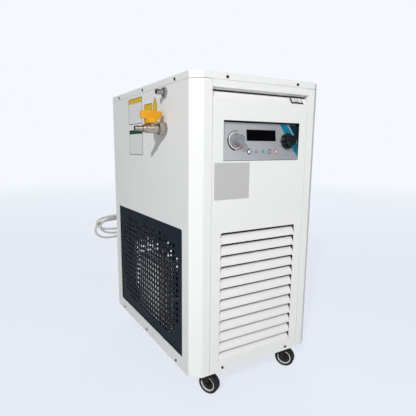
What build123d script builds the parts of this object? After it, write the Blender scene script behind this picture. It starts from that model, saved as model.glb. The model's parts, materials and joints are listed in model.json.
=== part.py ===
from build123d import *

import math
import os

os.makedirs("parts", exist_ok=True)

# Free-standing recirculating chiller. Millimetres, X to the right, Y to the back, Z up.
# The origin is on the floor under the middle of the cabinet.

# Cabinet outside
width = 360.0
depth = 525.0
overall_height = 740.0
caster_height = 66.0

# Sheet metal
sheet = 1.2
bend_radius = 2.5
seam = 0.8
return_depth = 12.0
chamfer_front = 25.3
chamfer_side = 18.5
post_front_strip = 20.0
post_side_strip = 21.0
cover_rim = 14.5
tray_floor = 2.0
tray_upstand = 22.0
frame_wall = 1.5

# Finger groove between the front panel and the top rail
rail_height = 14.7
rail_hem = 3.0
groove_height = 23.5
groove_slope_height = 16.5
groove_slot = 3.0

# Louvres in the front panel
louvre_count = 12
louvre_pitch = 25.8
louvre_width = 218.6
louvre_opening = 22.6
louvre_depth = 9.6
louvre_rise = 16.2
louvre_side_gap = 1.2
louvre_corner = 4.0
louvre_first_top = 401.0

# Control panel
control_left = -106.0
control_width = 216.6
control_drop = 95.6
control_height = 85.8
control_recess = 8.5
control_plate_thickness = 2.0
control_top_gap = 3.4
control_rim = 8.0
control_box_depth = 46.0
knob_height_on_plate = 43.0
knob_radius = 15.0
knob_length = 21.0
knob_gap = 0.5
shaft_radius = 3.0
shaft_clearance = 0.05
shaft_depth = 10.0
knob_skirt_height = 4.0
flute_radius = 3.2
pointer_width = 1.6
pointer_depth = 0.8
knob_inset = 35.0
left_grip_radius = 11.0
right_grip_radius = 13.0
right_flutes = 9
display_shift = -1.7
display_width = 83.0
display_height = 24.5
display_up = 55.0
display_thickness = 0.8
lamp_shift = 1.4
lamp_pitch = 19.6
lamp_count = 5
lamp_up = 19.0
lamp_radius = 3.6
lamp_proud = 0.6

# Catch in the finger groove
catch_x = 101.0
catch_up = 9.5
catch_width = 34.0
catch_depth = 15.0
catch_slot_width = 21.0
catch_slot_depth = 8.5
catch_frame_height = 3.0
catch_gap = 0.3
catch_bolt_width = 14.0
catch_bolt_proud = 1.4

# Left window and its perforated grille
window_length = 423.0
window_height = 308.2
window_centre_y = -2.0
window_bottom = 99.3
window_corner = 5.0
window_flange = 3.0
grille_margin = 7.0
grille_thickness = 1.2
hole_side = 9.8
hole_pitch_y = 15.7
hole_pitch_z = 15.2
hole_rows = (18, 22, 22) + (24,) * 11 + (22, 22, 18)

# Rear vents
vent_rows = 9
vent_pitch = 16.0
vent_width = 95.0
vent_slot = 6.0
vent_bottom = 120.0
vent_spacing = 112.0

# Screws
screw_head_radius = 3.4
screw_head_height = 1.8
screw_shank_radius = 1.9
screw_hole_radius = 2.1
screw_length = 7.0
screw_spread_side = 182.0
screw_spread_front = 98.5
screw_height_bottom = 75.5
screw_drop_cover = 8.7
screw_cross_length = 4.2
screw_cross_width = 0.9
screw_cross_depth = 0.8

# Hose connections on the left side
stub_y = -135.0
stub_drop = 30.0
stub_radius = 6.0
stub_thread_radius = 7.0
stub_bore = 4.2
stub_reach = 23.0
stub_inside = 24.0
stub_notch = 28.0
nut_across = 20.0
nut_thickness = 6.0
valve_y = -131.0
valve_drop = 111.0
valve_nut_across = 28.0
valve_nut_thickness = 5.0
valve_collar_across = 26.0
valve_collar_length = 12.0
valve_body_radius = 10.5
valve_body_end = 50.0
valve_bore = 4.5
valve_thread_radius = 8.0
barb_radius = 6.2
barb_reach = 74.0
barb_flange = 5.0
barb_ridges = 3
barb_ridge_pitch = 5.5
valve_centre = 34.0
valve_neck_radius = 6.5
valve_neck_top = 11.4
valve_stem_radius = 3.0
handle_length = 52.0
handle_thickness = 13.0
handle_grip_height = 17.0
handle_hub_radius = 12.0
handle_hub_height = 12.0
handle_gap = 0.4

# Casters
wheel_radius = 25.0
tyre_width = 20.0
rim_radius = 18.0
rim_face_width = 2.4
web_recess = 3.0
hub_radius = 7.0
axle_cap_radius = 5.0
axle_cap_thickness = 2.4
axle_radius = 3.0
axle_clearance = 0.08
fork_thickness = 2.5
fork_gap = 1.2
fork_trail = 14.0
head_radius = 21.0
head_height = 9.0
plate_side = 58.0
plate_thickness = 3.0
plate_gap = 0.4
caster_x = 121.5
caster_y = 220.0
kingpin_radius = 5.0
kingpin_clearance = 0.06
swivel_angles = {
    "front_left": -62.0,
    "front_right": -57.0,
    "rear_left": -75.0,
    "rear_right": -50.0,
}

# Inside
shelf_height = 425.0
tank_headroom = 41.8
tank_length = 270.0
tank_width = 290.0
tank_front = -60.0
pipe_radius = 6.0
condenser_width = 240.0
condenser_depth = 40.0
condenser_bottom = 92.0
condenser_height = 290.0
condenser_front = -240.0
fin_count = 18
fin_gap = 3.0
fin_cut = 14.0
end_plate = 2.0
shroud_depth = 22.0
fan_radius = 108.0
fan_clearance = 4.0
fan_blade_count = 5
compressor_radius = 75.0
compressor_height = 180.0
compressor_x = 25.0
compressor_y = -6.0
compressor_foot_height = 14.0
electric_box_left = -150.0
electric_box_front = -19.0

strap_width = 18.0
strap_thickness = 3.0
strap_spacing = 50.0
motor_radius = 38.0
motor_length = 58.0
motor_shaft_radius = 4.0
fan_hub_radius = 26.0
fan_hub_length = 18.0
blade_thickness = 1.8
compressor_foot_plate = 4.0
compressor_foot_length = 196.0
compressor_foot_width = 130.0
compressor_dome = 28.0
electric_box_width = 50.0
electric_box_length = 141.0
electric_box_height = 198.0
shelf_flange = 14.0
tank_corner = 18.0
tank_lid_thickness = 8.0
suction_spot = (-60.0, 165.0)
liquid_line_spot = (-150.0, -54.0)
liquid_line_step = (60.0, 40.0, 50.0)
liquid_line_rise = 170.0
discharge_offset = 30.0
discharge_reach = 16.0
pump_face_x = -30.0
pump_y = 165.0
pump_z = 125.0
pump_wet_radius = 46.0
pump_wet_length = 38.0
pump_motor_radius = 38.0
pump_motor_length = 105.0
pipe_bend = 14.0
delivery_x = -128.0
delivery_y = 120.0
delivery_z = 370.0
return_dip = 50.0
line_radius = 4.0
line_bend = 11.0
discharge_z = 330.0
liquid_z = 130.0

# Mains cord behind the cabinet
cord_diameter = 7.0
gland_x = 50.0
gland_z = 420.0
gland_length = 14.0
gland_across = 20.0
lead_route = (
    (50.0, 276.5, 420.0),
    (50.0, 314.0, 420.0),
    (24.0, 340.0, 404.0),
    (-10.0, 334.0, 382.0),
    (-40.0, 306.0, 366.0),
    (-66.0, 292.0, 356.0),
)
tail_route = (
    (-80.0, 290.0, 297.0),
    (-50.0, 292.0, 292.0),
    (-26.0, 294.0, 268.0),
    (-22.0, 294.0, 234.0),
    (-22.0, 294.0, 204.0),
)
hank_x = -118.0
hank_y = 290.0
hank_z = 326.0
hank_length = 244.0
hank_height = 72.0
hank_band = 15.0
hank_thickness = 22.0
hook_x = -118.0
hook_width = 22.0
hook_thickness = 2.0
hook_drop = 30.0
plug_neck_radius = 6.5
plug_neck_length = 16.0
plug_width = 38.0
plug_depth = 26.0
plug_length = 34.0

stub_z = overall_height - stub_drop
valve_z = overall_height - valve_drop
control_bottom = overall_height - control_drop - control_height
control_middle = control_left + control_width / 2
left_knob_x = control_left + knob_inset
right_knob_x = control_left + control_width - knob_inset

half_x = width / 2
half_y = depth / 2
cover_bottom = overall_height - cover_rim
skin_top = cover_bottom - seam
floor_top = caster_height + tray_floor
corner_x = chamfer_front + post_front_strip
corner_y = chamfer_side + post_side_strip
front_panel_half = half_x - corner_x - seam
side_panel_half = half_y - corner_y - seam
groove_back = -half_y + sheet + return_depth
rail_bottom = skin_top - rail_height
front_panel_top = rail_bottom - groove_height
frame_bottom = rail_bottom - groove_slot - seam
returns_top = frame_bottom - seam
window_centre_z = window_bottom + window_height / 2


def footprint(inset=0.0):
    """The cabinet seen from above, with its chamfered and softly bent corners, drawn in by inset."""
    x, y = half_x, half_y
    corner = ((x, y - chamfer_side), (x - chamfer_front, y))
    with BuildSketch() as outline:
        with BuildLine():
            Polyline(
                *corner,
                *((-a, b) for a, b in reversed(corner)),
                *((-a, -b) for a, b in corner),
                *((a, -b) for a, b in reversed(corner)),
                close=True,
            )
        make_face()
        if inset:
            offset(amount=-inset, kind=Kind.INTERSECTION)
        if bend_radius - inset > 0.2:
            fillet(outline.vertices(), radius=bend_radius - inset)
    return outline.sketch


def bent_sheet(points, thickness=sheet, side=Side.RIGHT):
    """The edge of a folded sheet: a line of folds and its thickness on one side."""
    with BuildSketch() as section:
        with BuildLine():
            Polyline(*points)
            offset(amount=thickness, side=side, kind=Kind.INTERSECTION)
        make_face()
    return section.sketch


def screw_places():
    """Every screw of the cabinet as a plane on the sheet, with its normal pointing out."""
    cover, panels = [], []
    cover_screw_z = overall_height - screw_drop_cover
    for side in (-1, 1):
        for y in (-screw_spread_side, 0.0, screw_spread_side):
            for z, group in ((cover_screw_z, cover), (screw_height_bottom, panels)):
                origin = (side * half_x, y, z)
                group.append(Plane(origin=origin, x_dir=(0, 1, 0), z_dir=(side, 0, 0)))
        for x in (-screw_spread_front, screw_spread_front):
            for z, group in ((cover_screw_z, cover), (screw_height_bottom, panels)):
                origin = (x, side * half_y, z)
                group.append(Plane(origin=origin, x_dir=(1, 0, 0), z_dir=(0, side, 0)))
    return cover, panels


cover_screw_planes, panel_screw_planes = screw_places()


def screw_drills(planes):
    """The clearance holes of the screws, through the sheet and what lies right behind it."""
    with BuildPart() as drills:
        with BuildSketch(*planes):
            Circle(screw_hole_radius)
        extrude(amount=-screw_length)
    return drills.part


def make_screws(planes):
    with BuildPart() as screws:
        with BuildSketch(*planes):
            Circle(screw_head_radius)
        extrude(amount=screw_head_height, taper=22)
        with BuildSketch(*(plane.offset(screw_head_height) for plane in planes)):
            Rectangle(screw_cross_length, screw_cross_width)
            Rectangle(screw_cross_width, screw_cross_length)
        extrude(amount=-screw_cross_depth, mode=Mode.SUBTRACT)
        with BuildSketch(*planes):
            Circle(screw_shank_radius)
        extrude(amount=-screw_length + 0.5)
    return screws.part


cover_drills = screw_drills(cover_screw_planes)
panel_drills = screw_drills(panel_screw_planes)


# Base tray: a floor inside the skins, with upstands that the panels are screwed to.
upstand_y = side_panel_half - sheet - seam
upstand_x = front_panel_half - sheet - seam
with BuildPart() as base_tray:
    with BuildSketch(Plane.XY.offset(caster_height)):
        add(footprint(sheet))
    extrude(amount=tray_floor)
    for side in (-1, 1):
        with BuildSketch(Plane.XY.offset(floor_top)):
            with Locations((side * (half_x - sheet - frame_wall / 2), 0)):
                Rectangle(frame_wall, 2 * upstand_y)
            with Locations((0, side * (half_y - sheet - frame_wall / 2))):
                Rectangle(2 * upstand_x, frame_wall)
        extrude(amount=tray_upstand)
    add(panel_drills, mode=Mode.SUBTRACT)

# Top frame: a band inside the skins that the cover is screwed to. Its front wall is set back
# behind the finger groove.
frame_top = overall_height - sheet
with BuildPart() as top_frame:
    with BuildSketch(Plane.XY.offset(frame_bottom)):
        add(footprint(sheet))
        add(footprint(sheet + frame_wall), mode=Mode.SUBTRACT)
        with Locations((0, groove_back - half_y)):
            Rectangle(width, 2 * half_y, mode=Mode.SUBTRACT)
    extrude(amount=frame_top - frame_bottom)
    with BuildSketch(Plane.XY.offset(frame_bottom)):
        add(footprint(sheet))
        with Locations((0, groove_back + frame_wall / 2)):
            Rectangle(width, frame_wall, mode=Mode.INTERSECT)
    extrude(amount=frame_top - frame_bottom)
    with BuildSketch(Plane.YZ.offset(-half_x)):
        with Locations((stub_y, stub_z)):
            Rectangle(stub_notch, stub_notch)
    extrude(amount=sheet + frame_wall, mode=Mode.SUBTRACT)
    add(cover_drills, mode=Mode.SUBTRACT)

# Corner posts: chamfered angles with a return along each edge. The returns at the front go up
# to the cover and close the ends of the finger groove.
with BuildPart() as corner_posts:
    with BuildSketch(Plane.XY.offset(caster_height)):
        add(footprint())
        add(footprint(sheet), mode=Mode.SUBTRACT)
        Rectangle(2 * (half_x - corner_x), depth + 2, mode=Mode.SUBTRACT)
        Rectangle(width + 2, 2 * (half_y - corner_y), mode=Mode.SUBTRACT)
    extrude(amount=skin_top - caster_height)
    with BuildSketch(Plane.XY.offset(floor_top)):
        with GridLocations(width - 2 * sheet - return_depth, depth - 2 * corner_y + sheet, 2, 2):
            Rectangle(return_depth, sheet)
        with GridLocations(width - 2 * corner_x + sheet, depth - 2 * sheet - return_depth, 2, 2):
            Rectangle(sheet, return_depth)
    extrude(amount=returns_top - floor_top)
    with BuildSketch(Plane.XY.offset(returns_top)):
        with Locations((0, groove_back - return_depth / 2)):
            with GridLocations(width - 2 * corner_x + sheet, 0, 2, 1):
                Rectangle(sheet, return_depth)
    extrude(amount=skin_top - returns_top)

# Top cover: a shallow pan with bent edges, flush with the skins below it.
with BuildPart() as top_cover:
    with BuildSketch(Plane.XY.offset(cover_bottom)):
        add(footprint())
    extrude(amount=cover_rim)
    fillet(top_cover.faces().sort_by(Axis.Z)[-1].edges(), radius=bend_radius - 1)
    with BuildSketch(Plane.XY.offset(cover_bottom)):
        add(footprint(sheet))
    extrude(amount=cover_rim - sheet, mode=Mode.SUBTRACT)
    add(cover_drills, mode=Mode.SUBTRACT)

# Top rail: the strip above the finger groove, with a hemmed underside and a tab behind the cover.
rail_tab = -half_y + sheet
with BuildPart() as top_rail:
    with BuildSketch(Plane.YZ.offset(-front_panel_half)):
        add(
            bent_sheet(
                [
                    (groove_back - sheet, rail_bottom - rail_hem),
                    (groove_back - sheet, rail_bottom),
                    (-half_y, rail_bottom),
                    (-half_y, skin_top),
                    (rail_tab, skin_top),
                    (rail_tab, frame_top - seam),
                ]
            )
        )
    extrude(amount=2 * front_panel_half)
    add(cover_drills, mode=Mode.SUBTRACT)

# Front panel: web, sloping top flange and side returns in one sheet, with the control opening
# and twelve louvres lanced and bent inwards at their tops.
louvre_radius = (louvre_depth**2 + louvre_rise**2) / (2 * louvre_depth)
louvre_angle = math.degrees(math.asin(louvre_rise / louvre_radius))
louvre_tops = [louvre_first_top - i * louvre_pitch for i in range(louvre_count)]


def louvre_flap(top):
    """The edge of one louvre's curved flap, hinged on the lower edge of its opening."""
    centre = (louvre_radius - half_y, top - louvre_opening)
    with BuildSketch(Plane.YZ.offset(-louvre_width / 2 + louvre_side_gap)) as flap:
        with BuildLine():
            outer = CenterArc(centre, louvre_radius, 180, -louvre_angle)
            inner = CenterArc(centre, louvre_radius - sheet, 180, -louvre_angle)
            Line(outer @ 0, inner @ 0)
            Line(outer @ 1, inner @ 1)
        make_face()
    return flap.sketch


with BuildPart() as front_panel:
    with BuildSketch(Plane.YZ.offset(-front_panel_half)):
        add(
            bent_sheet(
                [
                    (-half_y, caster_height),
                    (-half_y, front_panel_top),
                    (groove_back - seam, front_panel_top + groove_slope_height),
                ]
            )
        )
    extrude(amount=2 * front_panel_half)
    with BuildSketch(Plane.XY.offset(floor_top)):
        with GridLocations(2 * front_panel_half - sheet, 0, 2, 1):
            with Locations((0, -half_y + sheet + return_depth / 2)):
                Rectangle(sheet, return_depth)
    extrude(amount=front_panel_top - sheet - floor_top)
    with BuildSketch(Plane.XZ.offset(half_y)):
        with Locations((control_left + control_width / 2, control_bottom + control_height / 2)):
            Rectangle(control_width, control_height)
        for top in louvre_tops:
            with Locations((0, top - louvre_opening / 2)):
                slot = Rectangle(louvre_width, louvre_opening)
            fillet(slot.vertices().group_by(Axis.Y)[-1], radius=louvre_corner)
    extrude(amount=-2 * sheet, mode=Mode.SUBTRACT)
    for top in louvre_tops:
        extrude(louvre_flap(top), amount=louvre_width - 2 * louvre_side_gap)
    add(panel_drills, mode=Mode.SUBTRACT)


# Side panels, left and right: flat webs with returns. The left one has the grille window.
def plain_side_panel(side):
    with BuildPart() as panel:
        with BuildSketch(Plane.XY.offset(caster_height)):
            with Locations((side * (half_x - sheet / 2), 0)):
                Rectangle(sheet, 2 * side_panel_half)
        extrude(amount=skin_top - caster_height)
        with BuildSketch(Plane.XY.offset(floor_top)):
            with Locations((side * (half_x - sheet - return_depth / 2), 0)):
                with GridLocations(0, 2 * side_panel_half - sheet, 1, 2):
                    Rectangle(return_depth, sheet)
        extrude(amount=returns_top - floor_top)
        add(panel_drills, mode=Mode.SUBTRACT)
    return panel.part


window_plane = Plane(
    origin=(-half_x, window_centre_y, window_centre_z), x_dir=(0, -1, 0), z_dir=(-1, 0, 0)
)
left_web = plain_side_panel(-1)
right_panel = plain_side_panel(1)
with BuildPart() as left_panel:
    add(left_web)
    with BuildSketch(window_plane):
        RectangleRounded(window_length + 2 * sheet, window_height + 2 * sheet, window_corner + sheet)
    extrude(amount=-window_flange)
    with BuildSketch(window_plane):
        RectangleRounded(window_length, window_height, window_corner)
    extrude(amount=-window_flange, mode=Mode.SUBTRACT)
    with BuildSketch(Plane.YZ.offset(-half_x)):
        with Locations((stub_y, stub_z)):
            Circle(stub_thread_radius + 0.3)
        with Locations((valve_y, valve_z)):
            Circle(valve_thread_radius + 0.3)
    extrude(amount=sheet, mode=Mode.SUBTRACT)

# Rear panel, with two columns of air slots.
with BuildPart() as rear_panel:
    with BuildSketch(Plane.XY.offset(caster_height)):
        with Locations((0, half_y - sheet / 2)):
            Rectangle(2 * front_panel_half, sheet)
    extrude(amount=skin_top - caster_height)
    with BuildSketch(Plane.XY.offset(floor_top)):
        with Locations((0, half_y - sheet - return_depth / 2)):
            with GridLocations(2 * front_panel_half - sheet, 0, 2, 1):
                Rectangle(sheet, return_depth)
    extrude(amount=returns_top - floor_top)
    with BuildSketch(Plane.XZ.offset(-half_y)):
        with Locations((0, vent_bottom + (vent_rows - 1) * vent_pitch / 2)):
            with GridLocations(vent_spacing, vent_pitch, 2, vent_rows):
                Rectangle(vent_width, vent_slot)
    extrude(amount=2 * sheet, mode=Mode.SUBTRACT)
    add(panel_drills, mode=Mode.SUBTRACT)

# Perforated grille behind the window: square holes in rows, fewer in the outer rows.
hole_centres = [
    ((column - (count - 1) / 2) * hole_pitch_y, ((len(hole_rows) - 1) / 2 - row) * hole_pitch_z)
    for row, count in enumerate(hole_rows)
    for column in range(count)
]
with BuildPart() as side_grille:
    with BuildSketch(window_plane.offset(-window_flange)):
        Rectangle(window_length + 2 * grille_margin, window_height + 2 * grille_margin)
        with Locations(*hole_centres):
            Rectangle(hole_side, hole_side, mode=Mode.SUBTRACT)
    extrude(amount=-grille_thickness)

# Control housing: a block behind the opening, with a pocket whose floor tilts back at the top.
plate_low = Vector(0, -half_y + 0.3, control_bottom + 1.0)
plate_rise = control_height - control_top_gap - 1.0
plate_length = math.hypot(plate_rise, control_recess)
plate_tilt = math.atan2(control_recess, plate_rise)
plate_normal = (0, -math.cos(plate_tilt), math.sin(plate_tilt))
plate_plane = Plane(
    origin=(control_left + control_width / 2, plate_low.Y, plate_low.Z),
    x_dir=(1, 0, 0),
    z_dir=plate_normal,
)
knob_spots = {"left_knob": left_knob_x, "right_knob": right_knob_x}
shaft_spots = [(x - control_middle, knob_height_on_plate) for x in knob_spots.values()]


def plate_back(z):
    """How far back the rear face of the control plate lies at the height z."""
    return (
        plate_low.Y
        + control_plate_thickness / math.cos(plate_tilt)
        + (z - plate_low.Z) * math.tan(plate_tilt)
    )


with BuildPart() as control_housing:
    control_top = control_bottom + control_height
    with BuildSketch(Plane.XZ.offset(half_y - sheet)):
        with Locations((control_middle, control_bottom + control_height / 2)):
            RectangleRounded(
                control_width + 2 * control_rim, control_height + 2 * control_rim, control_rim / 2
            )
    extrude(amount=-control_box_depth)
    with BuildSketch(Plane.YZ.offset(control_left)):
        with BuildLine():
            Polyline(
                (-half_y, control_bottom),
                (plate_back(control_bottom), control_bottom),
                (plate_back(control_top), control_top),
                (-half_y, control_top),
                close=True,
            )
        make_face()
    extrude(amount=control_width, mode=Mode.SUBTRACT)
    with BuildSketch(plate_plane):
        with Locations(*shaft_spots):
            Circle(shaft_radius + shaft_clearance)
    extrude(amount=-control_plate_thickness - shaft_depth, mode=Mode.SUBTRACT)

with BuildPart() as control_plate:
    with BuildSketch(plate_plane):
        with Locations((0, plate_length / 2)):
            Rectangle(control_width - 2 * seam, plate_length)
        with Locations(*shaft_spots):
            Circle(shaft_radius + shaft_clearance, mode=Mode.SUBTRACT)
    extrude(amount=-control_plate_thickness)

with BuildPart() as display_window:
    with BuildSketch(plate_plane):
        with Locations((display_shift, display_up)):
            Rectangle(display_width, display_height)
    extrude(amount=display_thickness)

with BuildPart() as indicator_lamps:
    with BuildSketch(plate_plane):
        with Locations((lamp_shift, lamp_up)):
            with GridLocations(lamp_pitch, 0, lamp_count, 1):
                Circle(lamp_radius)
    extrude(amount=lamp_proud)


def make_knob(x, skirt, grip, flutes):
    """A knob on its shaft: a skirt against the plate and a grip, fluted or plain."""
    base = Plane(
        origin=plate_plane.from_local_coords((x - control_middle, knob_height_on_plate, knob_gap)),
        x_dir=plate_plane.x_dir,
        z_dir=plate_plane.z_dir,
    )
    with BuildPart() as knob:
        with BuildSketch(base):
            Circle(skirt)
        extrude(amount=knob_skirt_height)
        with BuildSketch(base.offset(knob_skirt_height)):
            Circle(grip)
            if flutes:
                with PolarLocations(grip + flute_radius * 0.55, flutes):
                    Circle(flute_radius, mode=Mode.SUBTRACT)
        extrude(amount=knob_length - knob_skirt_height, taper=3)
        with BuildSketch(base.offset(knob_length)):
            with Locations((0, grip * 0.55)):
                Rectangle(pointer_width, grip * 0.7)
        extrude(amount=-pointer_depth, mode=Mode.SUBTRACT)
        with BuildSketch(base):
            Circle(shaft_radius)
        extrude(amount=-knob_gap - control_plate_thickness - shaft_depth + seam)
    return knob.part


left_knob = make_knob(left_knob_x, knob_radius, left_grip_radius, 0)
right_knob = make_knob(right_knob_x, knob_radius - 1.0, right_grip_radius, right_flutes)

# Catch in the finger groove: a frame on the sloping flange with a bolt that slides in it.
slope_angle = math.atan2(groove_slope_height, groove_back - seam + half_y)
catch_plane = Plane(
    origin=(catch_x, -half_y, front_panel_top),
    x_dir=(1, 0, 0),
    z_dir=(0, -math.sin(slope_angle), math.cos(slope_angle)),
)
with BuildPart() as catch_frame:
    with BuildSketch(catch_plane):
        with Locations((0, catch_up)):
            Rectangle(catch_width, catch_depth)
            Rectangle(catch_slot_width, catch_slot_depth, mode=Mode.SUBTRACT)
    extrude(amount=catch_frame_height)
with BuildPart() as catch_bolt:
    with BuildSketch(catch_plane.offset(catch_gap)):
        with Locations((-catch_slot_width / 2 + catch_bolt_width / 2 + catch_gap, catch_up)):
            Rectangle(catch_bolt_width, catch_slot_depth - 2 * catch_gap)
    extrude(amount=catch_frame_height + catch_bolt_proud)
    fillet(catch_bolt.faces().sort_by(Axis.Z)[-1].edges(), radius=0.8)


# Hose connections on the left side. Their axes run along X.
def turned(y, z, profile):
    """A turned piece on an axis along X, from pairs of distance out of the side and radius."""
    plane = Plane(origin=(-half_x, y, z), x_dir=(-1, 0, 0), z_dir=(0, -1, 0))
    with BuildPart() as piece:
        with BuildSketch(plane):
            with BuildLine():
                Polyline(*profile, close=True)
            make_face()
        revolve(axis=Axis((-half_x, y, z), (-1, 0, 0)))
    return piece.part


def hexagon_on_side(y, z, start, thickness, across, bore):
    """A hexagon nut on an axis along X, from start to start + thickness out of the side."""
    plane = Plane(origin=(-half_x - start, y, z), x_dir=(0, 1, 0), z_dir=(-1, 0, 0))
    with BuildPart() as nut:
        with BuildSketch(plane):
            RegularPolygon(across / 2, 6, major_radius=False)
            Circle(bore, mode=Mode.SUBTRACT)
        extrude(amount=thickness)
    return nut.part


return_stub = turned(
    stub_y,
    stub_z,
    [
        (-stub_inside, stub_bore),
        (-stub_inside, stub_thread_radius),
        (nut_thickness, stub_thread_radius),
        (nut_thickness, stub_radius),
        (stub_reach, stub_radius),
        (stub_reach, stub_bore),
    ],
)
side_nuts = Compound(
    children=[
        hexagon_on_side(stub_y, stub_z, 0, nut_thickness, nut_across, stub_thread_radius),
        hexagon_on_side(
            stub_y, stub_z, -sheet - nut_thickness, nut_thickness, nut_across, stub_thread_radius
        ),
        hexagon_on_side(valve_y, valve_z, 0, valve_nut_thickness, valve_nut_across, valve_thread_radius),
        hexagon_on_side(
            valve_y, valve_z, -sheet - nut_thickness, nut_thickness, valve_collar_across, valve_thread_radius
        ),
    ]
)
collar_end = valve_nut_thickness + valve_collar_length
valve_collar = hexagon_on_side(
    valve_y,
    valve_z,
    valve_nut_thickness,
    valve_collar_length,
    valve_collar_across,
    valve_thread_radius - 1,
)
valve_shell = turned(
    valve_y,
    valve_z,
    [
        (-stub_inside, valve_bore),
        (-stub_inside, valve_thread_radius),
        (valve_nut_thickness, valve_thread_radius),
        (collar_end, valve_body_radius - 1.5),
        (collar_end + 4, valve_body_radius),
        (valve_body_end - 4, valve_body_radius),
        (valve_body_end, valve_body_radius - 1.5),
        (valve_body_end, valve_bore),
    ],
)
valve_axis_x = -half_x - valve_centre
neck_plane = Plane.XY.offset(valve_z)
with BuildPart() as valve_body:
    add(valve_shell)
    add(valve_collar)
    with BuildSketch(neck_plane):
        with Locations((valve_axis_x, valve_y)):
            Circle(valve_neck_radius + 2)
    extrude(amount=valve_neck_top - 2)
    with BuildSketch(neck_plane):
        with Locations((valve_axis_x, valve_y)):
            RegularPolygon(valve_neck_radius, 6)
    extrude(amount=valve_neck_top)
    with BuildSketch(neck_plane):
        with Locations((valve_axis_x, valve_y)):
            Circle(valve_stem_radius + shaft_clearance)
    extrude(amount=valve_neck_top, mode=Mode.SUBTRACT)
    add(turned(valve_y, valve_z, [(0, 0), (0, valve_bore), (valve_body_end, valve_bore), (valve_body_end, 0)]),
        mode=Mode.SUBTRACT)

barb_root = valve_body_end + barb_flange
outlet_barb = turned(
    valve_y,
    valve_z,
    [
        (valve_body_end, valve_bore),
        (valve_body_end, barb_radius + 2.2),
        (barb_root, barb_radius + 2.2),
        (barb_root, barb_radius - 0.9),
        (barb_root + 1, barb_radius - 0.9),
        *(
            point
            for i in range(barb_ridges)
            for point in (
                (barb_root + 1 + i * barb_ridge_pitch, barb_radius),
                (barb_root + 1 + (i + 1) * barb_ridge_pitch, barb_radius - 0.9),
            )
        ),
        (barb_reach, barb_radius - 0.9),
        (barb_reach, valve_bore),
    ],
)

handle_low = valve_neck_top + handle_gap
with BuildPart() as valve_stem:
    with BuildSketch(Plane.XY.offset(valve_z + valve_bore + 1.5)):
        with Locations((valve_axis_x, valve_y)):
            Circle(valve_stem_radius)
    extrude(amount=handle_low + handle_hub_height - valve_bore - 1.5)

with BuildPart() as valve_handle:
    with BuildSketch(Plane.XY.offset(valve_z + handle_low)):
        with Locations((valve_axis_x, valve_y)):
            Circle(handle_hub_radius)
    extrude(amount=handle_hub_height)
    with BuildSketch(Plane.XY.offset(valve_z + handle_low + handle_hub_height - 2)):
        with Locations((valve_axis_x, valve_y)):
            SlotOverall(handle_length, handle_thickness)
    extrude(amount=handle_grip_height)
    fillet(valve_handle.faces().sort_by(Axis.Z)[-1].edges(), radius=2.0)
    with BuildSketch(Plane.XY.offset(valve_z + handle_low)):
        with Locations((valve_axis_x, valve_y)):
            Circle(valve_stem_radius)
    extrude(amount=handle_hub_height, mode=Mode.SUBTRACT)


# Casters. Each is drawn at the origin with its wheel trailing along X, then turned and placed.
fork_half = tyre_width / 2 + fork_gap
axle_half = fork_half + fork_thickness + axle_cap_thickness
head_top = caster_height - plate_thickness - plate_gap
wheel_centre = (fork_trail, 0, wheel_radius)
axle_plane = Plane(origin=wheel_centre, x_dir=(1, 0, 0), z_dir=(0, 1, 0))
with BuildPart() as caster_plate:
    with BuildSketch(Plane.XY.offset(caster_height - plate_thickness)):
        RectangleRounded(plate_side, plate_side, 6)
        with GridLocations(plate_side - 14, plate_side - 14, 2, 2):
            Circle(2.6, mode=Mode.SUBTRACT)
    extrude(amount=plate_thickness)
    with BuildSketch(Plane.XY.offset(caster_height - plate_thickness)):
        Circle(kingpin_radius)
    extrude(amount=-head_height - plate_gap - 1.5)

with BuildPart() as caster_fork:
    with BuildSketch(Plane.XY.offset(head_top)):
        Circle(head_radius)
    extrude(amount=-head_height)
    with BuildSketch(axle_plane):
        with BuildLine():
            top = head_top - head_height + 2 - wheel_radius
            Polyline(
                (-fork_trail - 16, -top),
                (-fork_trail + 15, -top),
                (axle_radius + 3, 2.0),
                (0, axle_radius + 4),
                (-axle_radius - 4, 2.0),
                close=True,
            )
        make_face()
    extrude(amount=fork_half + fork_thickness, both=True)
    with BuildSketch(Plane.XZ):
        with Locations((fork_trail / 2, (head_top - head_height) / 2)):
            Rectangle(4 * wheel_radius, head_top - head_height)
    extrude(amount=fork_half, both=True, mode=Mode.SUBTRACT)
    with BuildSketch(Plane.XY.offset(head_top)):
        Circle(kingpin_radius + kingpin_clearance)
    extrude(amount=-head_height, mode=Mode.SUBTRACT)
    with BuildSketch(axle_plane):
        Circle(axle_radius)
    extrude(amount=axle_half, both=True)
    for side in (-1, 1):
        with BuildSketch(axle_plane.offset(side * axle_half)):
            Circle(axle_cap_radius)
        extrude(amount=-side * axle_cap_thickness)

with BuildPart() as caster_wheel:
    with BuildSketch(axle_plane):
        Circle(rim_radius)
        Circle(axle_radius + axle_clearance, mode=Mode.SUBTRACT)
    extrude(amount=tyre_width / 2 - 1, both=True)
    for side in (-1, 1):
        with BuildSketch(axle_plane.offset(side * (tyre_width / 2 - 1))):
            Circle(rim_radius - rim_face_width)
            Circle(hub_radius, mode=Mode.SUBTRACT)
        extrude(amount=-side * web_recess, mode=Mode.SUBTRACT)

with BuildPart() as caster_tyre:
    with BuildSketch(axle_plane):
        Circle(wheel_radius)
    extrude(amount=tyre_width / 2, both=True)
    fillet(caster_tyre.edges(), radius=3.5)
    with BuildSketch(axle_plane):
        Circle(rim_radius)
    extrude(amount=tyre_width / 2, both=True, mode=Mode.SUBTRACT)



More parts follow.
